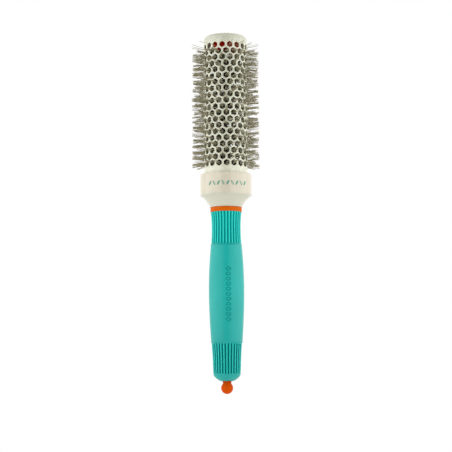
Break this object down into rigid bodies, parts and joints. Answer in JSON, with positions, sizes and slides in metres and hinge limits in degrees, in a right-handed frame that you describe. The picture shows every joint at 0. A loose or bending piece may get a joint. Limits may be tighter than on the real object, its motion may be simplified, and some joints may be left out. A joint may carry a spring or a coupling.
{
  "type": "round barrel brush",
  "caption": "Round hair brush with a perforated cream barrel, crimped bristle tufts, a teal fluted grip and a sliding steel sectioning tail with an orange ball.",
  "frame": {"origin": "on the brush axis at the widest point of the grip, where a hand or a gripper holds it", "axes": "+Z along the brush axis from the handle to the barrel's tip, -Y the front that faces the viewer, +X to the viewer's right"},
  "size_m": [0.0534, 0.0534, 0.2854],
  "materials": {
    "barrel_coat": "satin",
    "cap_cream": "satin",
    "collar_cream": "satin",
    "plug_red": "satin",
    "wire_steel": "satin",
    "bristle": "matte",
    "inner_nylon": "matte",
    "accent_orange": "gloss",
    "grip_teal": "satin",
    "pin_steel": "polished",
    "black_rubber": "matte"
  },
  "bodies": {
    "brush": {"barrel_tube": "barrel_coat", "tip_cap": "cap_cream", "tip_plug": "plug_red", "wire_core": "wire_steel", "bristle_row_01": "bristle", "bristle_row_02": "bristle", "bristle_row_03": "bristle", "bristle_row_04": "bristle", "bristle_row_05": "bristle", "bristle_row_06": "bristle", "bristle_row_07": "bristle", "bristle_row_08": "bristle", "bristle_row_09": "bristle", "bristle_row_10": "bristle", "bristle_row_11": "bristle", "bristle_row_12": "bristle", "bristle_row_13": "bristle", "bristle_row_14": "bristle", "bristle_row_15": "bristle", "bristle_row_16": "bristle", "bristle_row_17": "bristle", "bristle_row_18": "bristle", "bristle_row_19": "bristle", "bristle_row_20": "bristle", "base_collar": "collar_cream", "core_hub": "inner_nylon", "accent_ring": "accent_orange", "handle_core": "inner_nylon", "grip_sleeve": "grip_teal", "pin_guide": "accent_orange"},
    "tail_slider": {"pin_slider": "inner_nylon", "slider_ring": "black_rubber"},
    "section_pin": {"pin_rod": "pin_steel", "pin_clip": "pin_steel", "pin_knob": "accent_orange"}
  },
  "joints": [
    {"name": "tail_slide", "type": "slide", "parent": "brush", "child": "tail_slider", "axis": [0, 0, -1], "range_m": [0, 0.05]},
    {"name": "tail_spin", "type": "hinge", "parent": "tail_slider", "child": "section_pin", "pos_m": [0, 0, 0], "axis": [0, 0, 1], "continuous": true}
  ]
}
